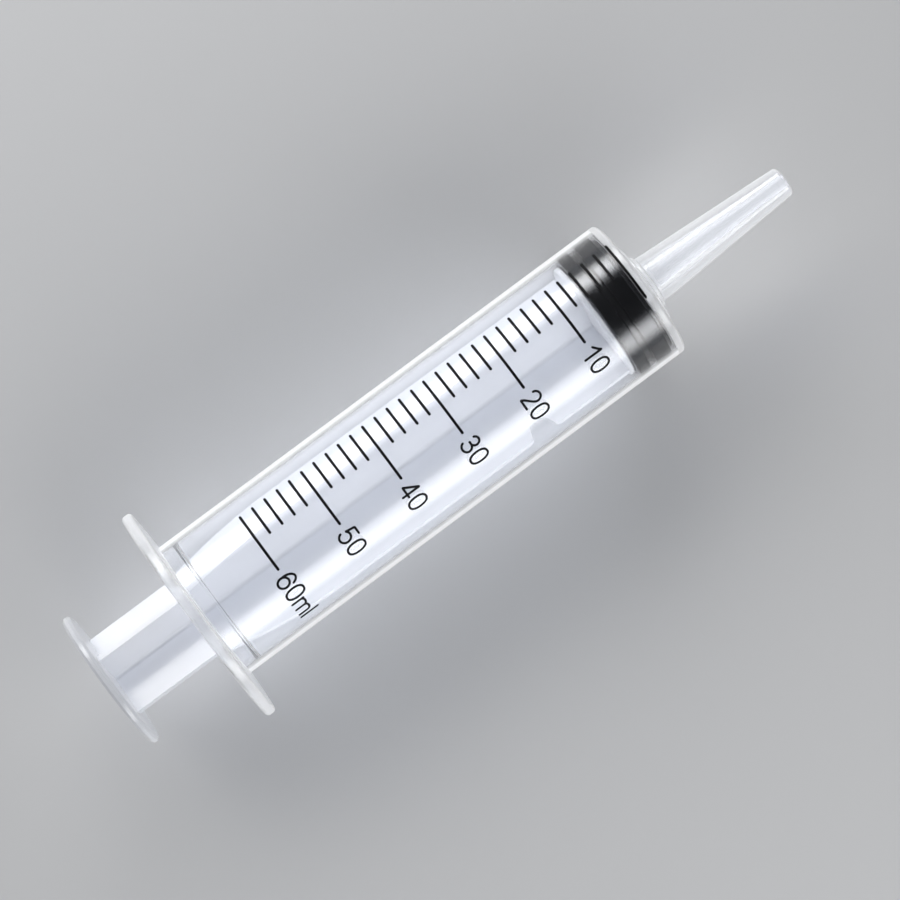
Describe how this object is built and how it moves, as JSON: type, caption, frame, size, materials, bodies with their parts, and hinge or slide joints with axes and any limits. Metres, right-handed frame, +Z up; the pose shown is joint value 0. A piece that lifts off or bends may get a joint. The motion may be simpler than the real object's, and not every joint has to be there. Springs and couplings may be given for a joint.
{
  "type": "catheter tip syringe",
  "caption": "Clear straight-tipped syringe with oval finger flange, ribbed plunger and black rubber stopper, lying on its side.",
  "frame": {"origin": "on the surface the syringe lies on, under the middle of its bounding box", "axes": "+X along the barrel towards the tip, Y along the finger flange's long side, +Z up"},
  "size_m": [0.1732, 0.0504, 0.0391],
  "materials": {
    "clear_plastic": "clear gloss, faintly hazy",
    "black_rubber": "smooth satin",
    "rod_plastic": "translucent gloss"
  },
  "bodies": {
    "barrel_body": {"barrel": "clear_plastic"},
    "stopper_body": {"stopper": "black_rubber"},
    "rod_body": {"plunger_rod": "rod_plastic"}
  },
  "joints": [
    {"name": "plunger_slide", "type": "slide", "parent": "barrel_body", "child": "stopper_body", "axis": [-1, 0, 0], "range_m": [0, 0.096]},
    {"name": "rod_turn", "type": "hinge", "parent": "stopper_body", "child": "rod_body", "pos_m": [-0.0866, 0, 0.01955], "axis": [1, 0, 0], "continuous": true}
  ]
}
